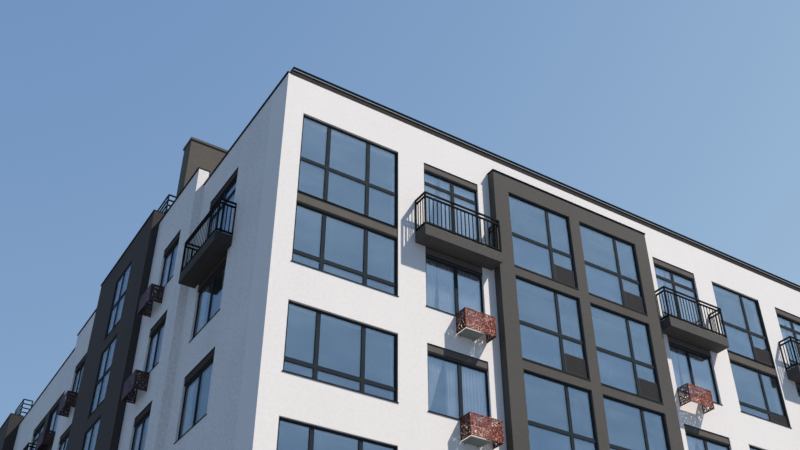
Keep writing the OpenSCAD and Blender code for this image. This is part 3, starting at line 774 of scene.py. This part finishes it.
def hung_widths(wall, runs, heights, storey):
    """Which stretches of a window have a curtain, and how far each is drawn aside at its hem."""
    edge, past_mullion, tall_light = 0.03, 0.04, 0.8
    left, right = runs[0] + edge, runs[-1] - edge
    width = right - left
    narrow = chance.uniform(0.16, 0.26) * width
    if in_grid(wall, runs):
        tall_foot = heights[2] - heights[1] > tall_light
        return [(left, runs[2] + past_mullion, 0.0)] if tall_foot else []
    if wall is FRONT and width < SLIM_UNDER:
        if storey % 2:
            return [(left, left + 0.30 * width, 0.85), (left + 0.34 * width, right, 0.0)]
        return [(left, left + 0.24 * width, 0.3), (left + 0.25 * width, right, 0.0)]
    if wall is FRONT and storey > 1:
        return []
    return [(left, left + narrow, 0.0), (right - narrow, right, 0.0)]


def curtained_windows():
    """The windows with curtains, by side and storey: all but the stairs' and the narrow ones."""
    least_wide, sill_under_floor = 1.4, 0.2
    by_storey = {}
    for wall, face, runs, heights in all_windows:
        stairs = wall is SIDE and face > STAIRS_BEYOND
        if stairs or runs[-1] - runs[0] < least_wide:
            continue
        storey = int((heights[0] + sill_under_floor - GROUND_FLOOR) // STOREY)
        side = "bay" if in_grid(wall, runs) else {FRONT: "front", SIDE: "side"}.get(wall, "court")
        by_storey.setdefault((side, storey), []).append((wall, face, runs, heights))
    return sorted(by_storey.items(), key=lambda item: item[0])


def curtains():
    """Sheers hang in most windows, and in the bays only in the lower left lights.

    Each storey's on one side make one piece."""
    clear, hem, over_transom, under_head = 0.050, 0.03, 0.03, 0.016
    half_rail, rail_high = 0.03, 0.012
    stretch = fold_length(FOLD_DEPTH - FOLD_LOSS / 2, FOLD_PITCH) / FOLD_PITCH
    rails = bmesh.new()
    for (side, storey), group in curtained_windows():
        mesh = bmesh.new()
        total, area, tallest = 0.0, 0.0, 0.0
        for wall, face, runs, heights in group:
            out = face - FRAME_DEPTH - GLASS - clear
            low = heights[0] + hem
            high = heights[3] + over_transom if side == "bay" else heights[-1] - under_head
            widths = hung_widths(wall, runs, heights, storey)
            if widths:
                depth = (out - half_rail, out + half_rail)
                bar(rails, wall, (runs[0], runs[-1]), depth, (high, high + rail_high))
            for start, end, swept in widths:
                curtain(mesh, wall, start, end, swept, out, low, high)
                total += (end - start) * stretch
                area += (end - start) * stretch * (high - low)
                tallest = max(tallest, high - low)
        bmesh.ops.recalc_face_normals(mesh, faces=mesh.faces)
        finish = "bay_curtain" if side == "bay" else "curtain"
        cloth = piece(f"{side}_curtains_{storey + 1}", mesh, finish)
    rail_piece = piece("curtain_rails", rails, "rail")


# ---- entrance doors ----

def door_fittings():
    """Each door has two leaves with a glazed light between rails, a middle strip and a pull."""
    stile, half_meeting, rail_past, strip = 0.10, 0.06, 0.03, 0.006
    pane_foot, rail_foot, head = 0.95, 0.86, 0.12
    pane_thick, rail_thick, strip_thick, rail_high = 0.006, 0.018, 0.012, 0.09
    pull, pull_foot, pull_head = (0.05, 0.08), 0.8, 1.5
    stay, stay_high, stay_feet = (0.055, 0.075), 0.02, (0.86, 1.42)
    glass, metal = bmesh.new(), bmesh.new()
    for low, high, _ in solids("entrance_doors"):
        wall = wall_of(low, high, court=True)
        face = wall.face(low, high)
        left, right = wall.run(low), wall.run(high)
        centre = (left + right) / 2
        leaves = ((left + stile, centre - half_meeting), (centre + half_meeting, right - stile))
        for start, end in leaves:
            pane = (low.z + pane_foot, high.z - head)
            bar(glass, wall, (start, end), (face, face + pane_thick), pane)
            for height in (low.z + rail_foot, high.z - head):
                across = (start - rail_past, end + rail_past)
                rise = (height, height + rail_high)
                bar(metal, wall, across, (face, face + rail_thick), rise)
        across = (centre - strip, centre + strip)
        bar(metal, wall, across, (face, face + strip_thick), (low.z, high.z))
        near, far = pull
        across, outs = (centre + near, centre + far), (face + near, face + far)
        bar(metal, wall, across, outs, (low.z + pull_foot, low.z + pull_head))
        across = (centre + stay[0], centre + stay[1])
        for foot in stay_feet:
            rise = (low.z + foot, low.z + foot + stay_high)
            bar(metal, wall, across, (face, face + near), rise)
    piece("door_lights", glass, "glazing")
    piece("door_metal", metal, "door")


glazing_beads()
reveal_linings()
panel_flashings()
bay_sill_edges()
louvres()
baskets()
curtains()
door_fittings()


# ---- light, floor and camera ----

def sun():
    lamp = bpy.data.lights.new("key", "SUN")
    lamp.energy = 5.3
    lamp.angle = math.radians(1.5)
    lamp.color = (1.0, 0.89, 0.775)
    key = bpy.data.objects.new("key", lamp)
    key.rotation_euler = Vector((-0.42, 0.46, -0.785)).to_track_quat("-Z", "Y").to_euler()
    scene.collection.objects.link(key)


def pale_sky():
    """Even blue light, under a sky that pales towards the horizon and the sun where it shows."""
    world = bpy.data.worlds.new("pale_sky")
    world.use_nodes = True
    scene.world = world
    sky = Shading(world.node_tree)
    sky.tree.nodes.clear()
    light = sky.node("Background", {}, {"Color": (0.36, 0.61, 1.0, 1.0), "Strength": 0.50})
    direction = sky.node("TexCoord", output="Generated")
    dot = {"operation": "DOT_PRODUCT"}
    towards = sky.node("VectorMath", dot, {0: direction, 1: (0.049, -0.196, -0.307)}, "Value")
    paleness = sky.between(towards, -0.375, 0.075)
    tint = sky.colour(paleness, (0.15, 0.271, 0.501, 1.0), (0.60, 0.802, 0.923, 1.0))
    seen = sky.node("Background", {}, {"Color": tint})
    mix = sky.node("MixShader", {}, {0: sky.background_rays(), 1: light, 2: seen})
    out = sky.tree.nodes.new("ShaderNodeOutputWorld")
    sky.tree.links.new(mix.socket, out.inputs[0])


def pale_floor():
    half, middle, under = 200.0, 15.0, 0.002
    mesh = bmesh.new()
    bmesh.ops.create_grid(mesh, x_segments=1, y_segments=1, size=half)
    bmesh.ops.translate(mesh, vec=(middle, middle, -under), verts=mesh.verts)
    data = bpy.data.meshes.new("floor")
    mesh.to_mesh(data)
    mesh.free()
    floor = bpy.data.objects.new("floor", data)
    scene.collection.objects.link(floor)
    ground = Finish("pale_floor", Roughness=0.95)
    seen = ground.background_rays()
    ground.feed("Base Color", ground.colour(seen, tone(0.14, 0.14, 0.14), tone(0.55, 0.56, 0.58)))
    data.materials.append(ground.material)


def street_camera():
    """The photo's camera, as its vanishing points give it."""
    data = bpy.data.cameras.new("street_corner")
    data.sensor_width = 36.0
    data.lens = 43.11
    data.clip_end = 500.0
    camera = bpy.data.objects.new("street_corner", data)
    camera.location = (-7.588, -17.846, 0.6)
    camera.rotation_euler = (math.radians(126.209), 0.0, math.radians(-32.289))
    scene.collection.objects.link(camera)
    scene.camera = camera


sun()
pale_sky()
pale_floor()
street_camera()
scene.view_settings.view_transform = "Standard"
